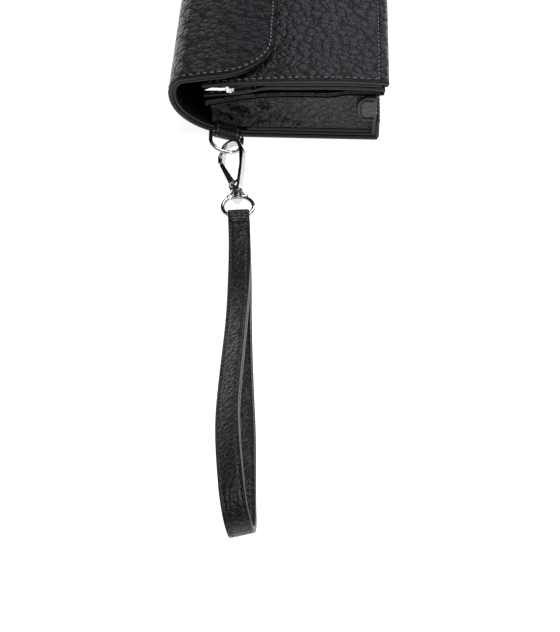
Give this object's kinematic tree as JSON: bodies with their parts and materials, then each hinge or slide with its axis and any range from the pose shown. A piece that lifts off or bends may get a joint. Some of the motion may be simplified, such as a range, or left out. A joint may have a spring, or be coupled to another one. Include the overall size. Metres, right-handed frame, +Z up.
{
  "type": "wristlet wallet",
  "caption": "Long pebbled-leather flap wallet with gusseted compartments, a zip pocket and a flat wrist strap on a swivel snap hook.",
  "frame": {"origin": "on the back's flat face, midway between the wallet's two ends, 46 mm from the back's bottom edge and 47 mm from the fold", "axes": "+Z up through the front panel, +Y along the wallet away from the wrist strap, +X from the fold to the bottom edge"},
  "size_m": [0.0964, 0.4238, 0.0354],
  "materials": {
    "outer_leather": "black pebbled leather, soft sheen",
    "soft_leather": "black pebbled leather, a little softer and duller",
    "lining_leather": "smooth charcoal lining leather",
    "tape": "woven zip tape",
    "board": "bonded fibre board",
    "chrome": "polished nickel plate",
    "steel": "plain steel"
  },
  "bodies": {
    "wallet": {"back_cover": "outer_leather", "back_stiffener": "board", "back_lining": "lining_leather", "card_panel": "lining_leather", "card_slot_back": "soft_leather", "card_slot_middle": "soft_leather", "card_slot_front": "soft_leather", "bottom_strip": "outer_leather", "near_gusset": "soft_leather", "far_gusset": "soft_leather", "ring_tab": "soft_leather"},
    "flap": {"flap_cover": "outer_leather", "flap_lining": "lining_leather", "snap_stud": "chrome", "snap_stud_washer": "steel"},
    "front_section": {"front_panel": "outer_leather", "front_lining": "lining_leather", "pocket_rear_panel": "soft_leather", "zip_tape_upper": "tape", "zip_tape_lower": "tape", "zip_teeth_upper": "chrome", "zip_teeth_lower": "chrome", "zip_stops": "chrome", "snap_socket": "chrome", "snap_magnet": "steel", "snap_socket_washer": "steel"},
    "divider": {"divider_panel": "soft_leather", "divider_slot_low": "soft_leather", "divider_slot_high": "soft_leather"},
    "zip_slider": {"zip_slider": "chrome"},
    "zip_pull": {"zip_pull": "chrome"},
    "tab_ring": {"d_ring": "chrome"},
    "hook": {"hook_frame": "chrome", "gate_rivet": "chrome", "swivel_post": "chrome", "gate_spring": "steel"},
    "gate": {"gate": "chrome"},
    "swivel_ring": {"swivel_ring": "chrome"},
    "strap": {"strap_fold": "outer_leather", "strap_outer": "outer_leather", "strap_lining": "lining_leather"}
  },
  "joints": [
    {"name": "flap_open", "type": "hinge", "parent": "wallet", "child": "flap", "pos_m": [-0.047, 0, 0.02245], "axis": [0, -1, 0], "range_deg": [0, 170]},
    {"name": "front_press", "type": "hinge", "parent": "wallet", "child": "front_section", "pos_m": [0.0465, 0, 0.0237], "axis": [0, -1, 0], "range_deg": [0, 4], "stiffness_Nm_per_rad": 4, "deforming": ["near_gusset", "far_gusset"]},
    {"name": "divider_press", "type": "hinge", "parent": "wallet", "child": "divider", "pos_m": [0.0465, 0, 0.0244], "axis": [0, -1, 0], "range_deg": [0, 3.4], "deforming": ["near_gusset", "far_gusset"]},
    {"name": "zip_slide", "type": "slide", "parent": "front_section", "child": "zip_slider", "axis": [0, 1, 0], "range_m": [0, 0.1725]},
    {"name": "pull_swing", "type": "hinge", "parent": "zip_slider", "child": "zip_pull", "pos_m": [-0.02235, -0.0925, 0.02495], "axis": [0, 0, 1], "range_deg": [-65, 65]},
    {"name": "d_ring_swing", "type": "hinge", "parent": "wallet", "child": "tab_ring", "pos_m": [-0.0213, -0.1002, 0.0054], "axis": [-0.9659, 0, 0.2588], "range_deg": [-60, 60]},
    {"name": "hook_swing", "type": "hinge", "parent": "tab_ring", "child": "hook", "pos_m": [-0.02134, -0.1097, 0.00524], "axis": [-0.9659, 0, 0.2588], "range_deg": [-50, 4]},
    {"name": "gate_open", "type": "hinge", "parent": "hook", "child": "gate", "pos_m": [-0.01568, -0.13487, 0.00404], "axis": [0.4644, 0.0757, -0.8824], "range_deg": [0, 22], "stiffness_Nm_per_rad": 0.01, "springref_deg": -17.19},
    {"name": "swivel_turn", "type": "hinge", "parent": "hook", "child": "swivel_ring", "pos_m": [-0.01437, -0.14199, 0.00412], "axis": [-0.0958, 0.9948, 0.0349], "continuous": true},
    {"name": "strap_swing", "type": "hinge", "parent": "swivel_ring", "child": "strap", "pos_m": [-0.01331, -0.15303, 0.00373], "axis": [-0.9954, -0.0958, 0], "range_deg": [-60, 60]}
  ],
  "couplings": [
    {"joint": "divider_press", "follows": "front_press", "ratio": 0.85}
  ]
}
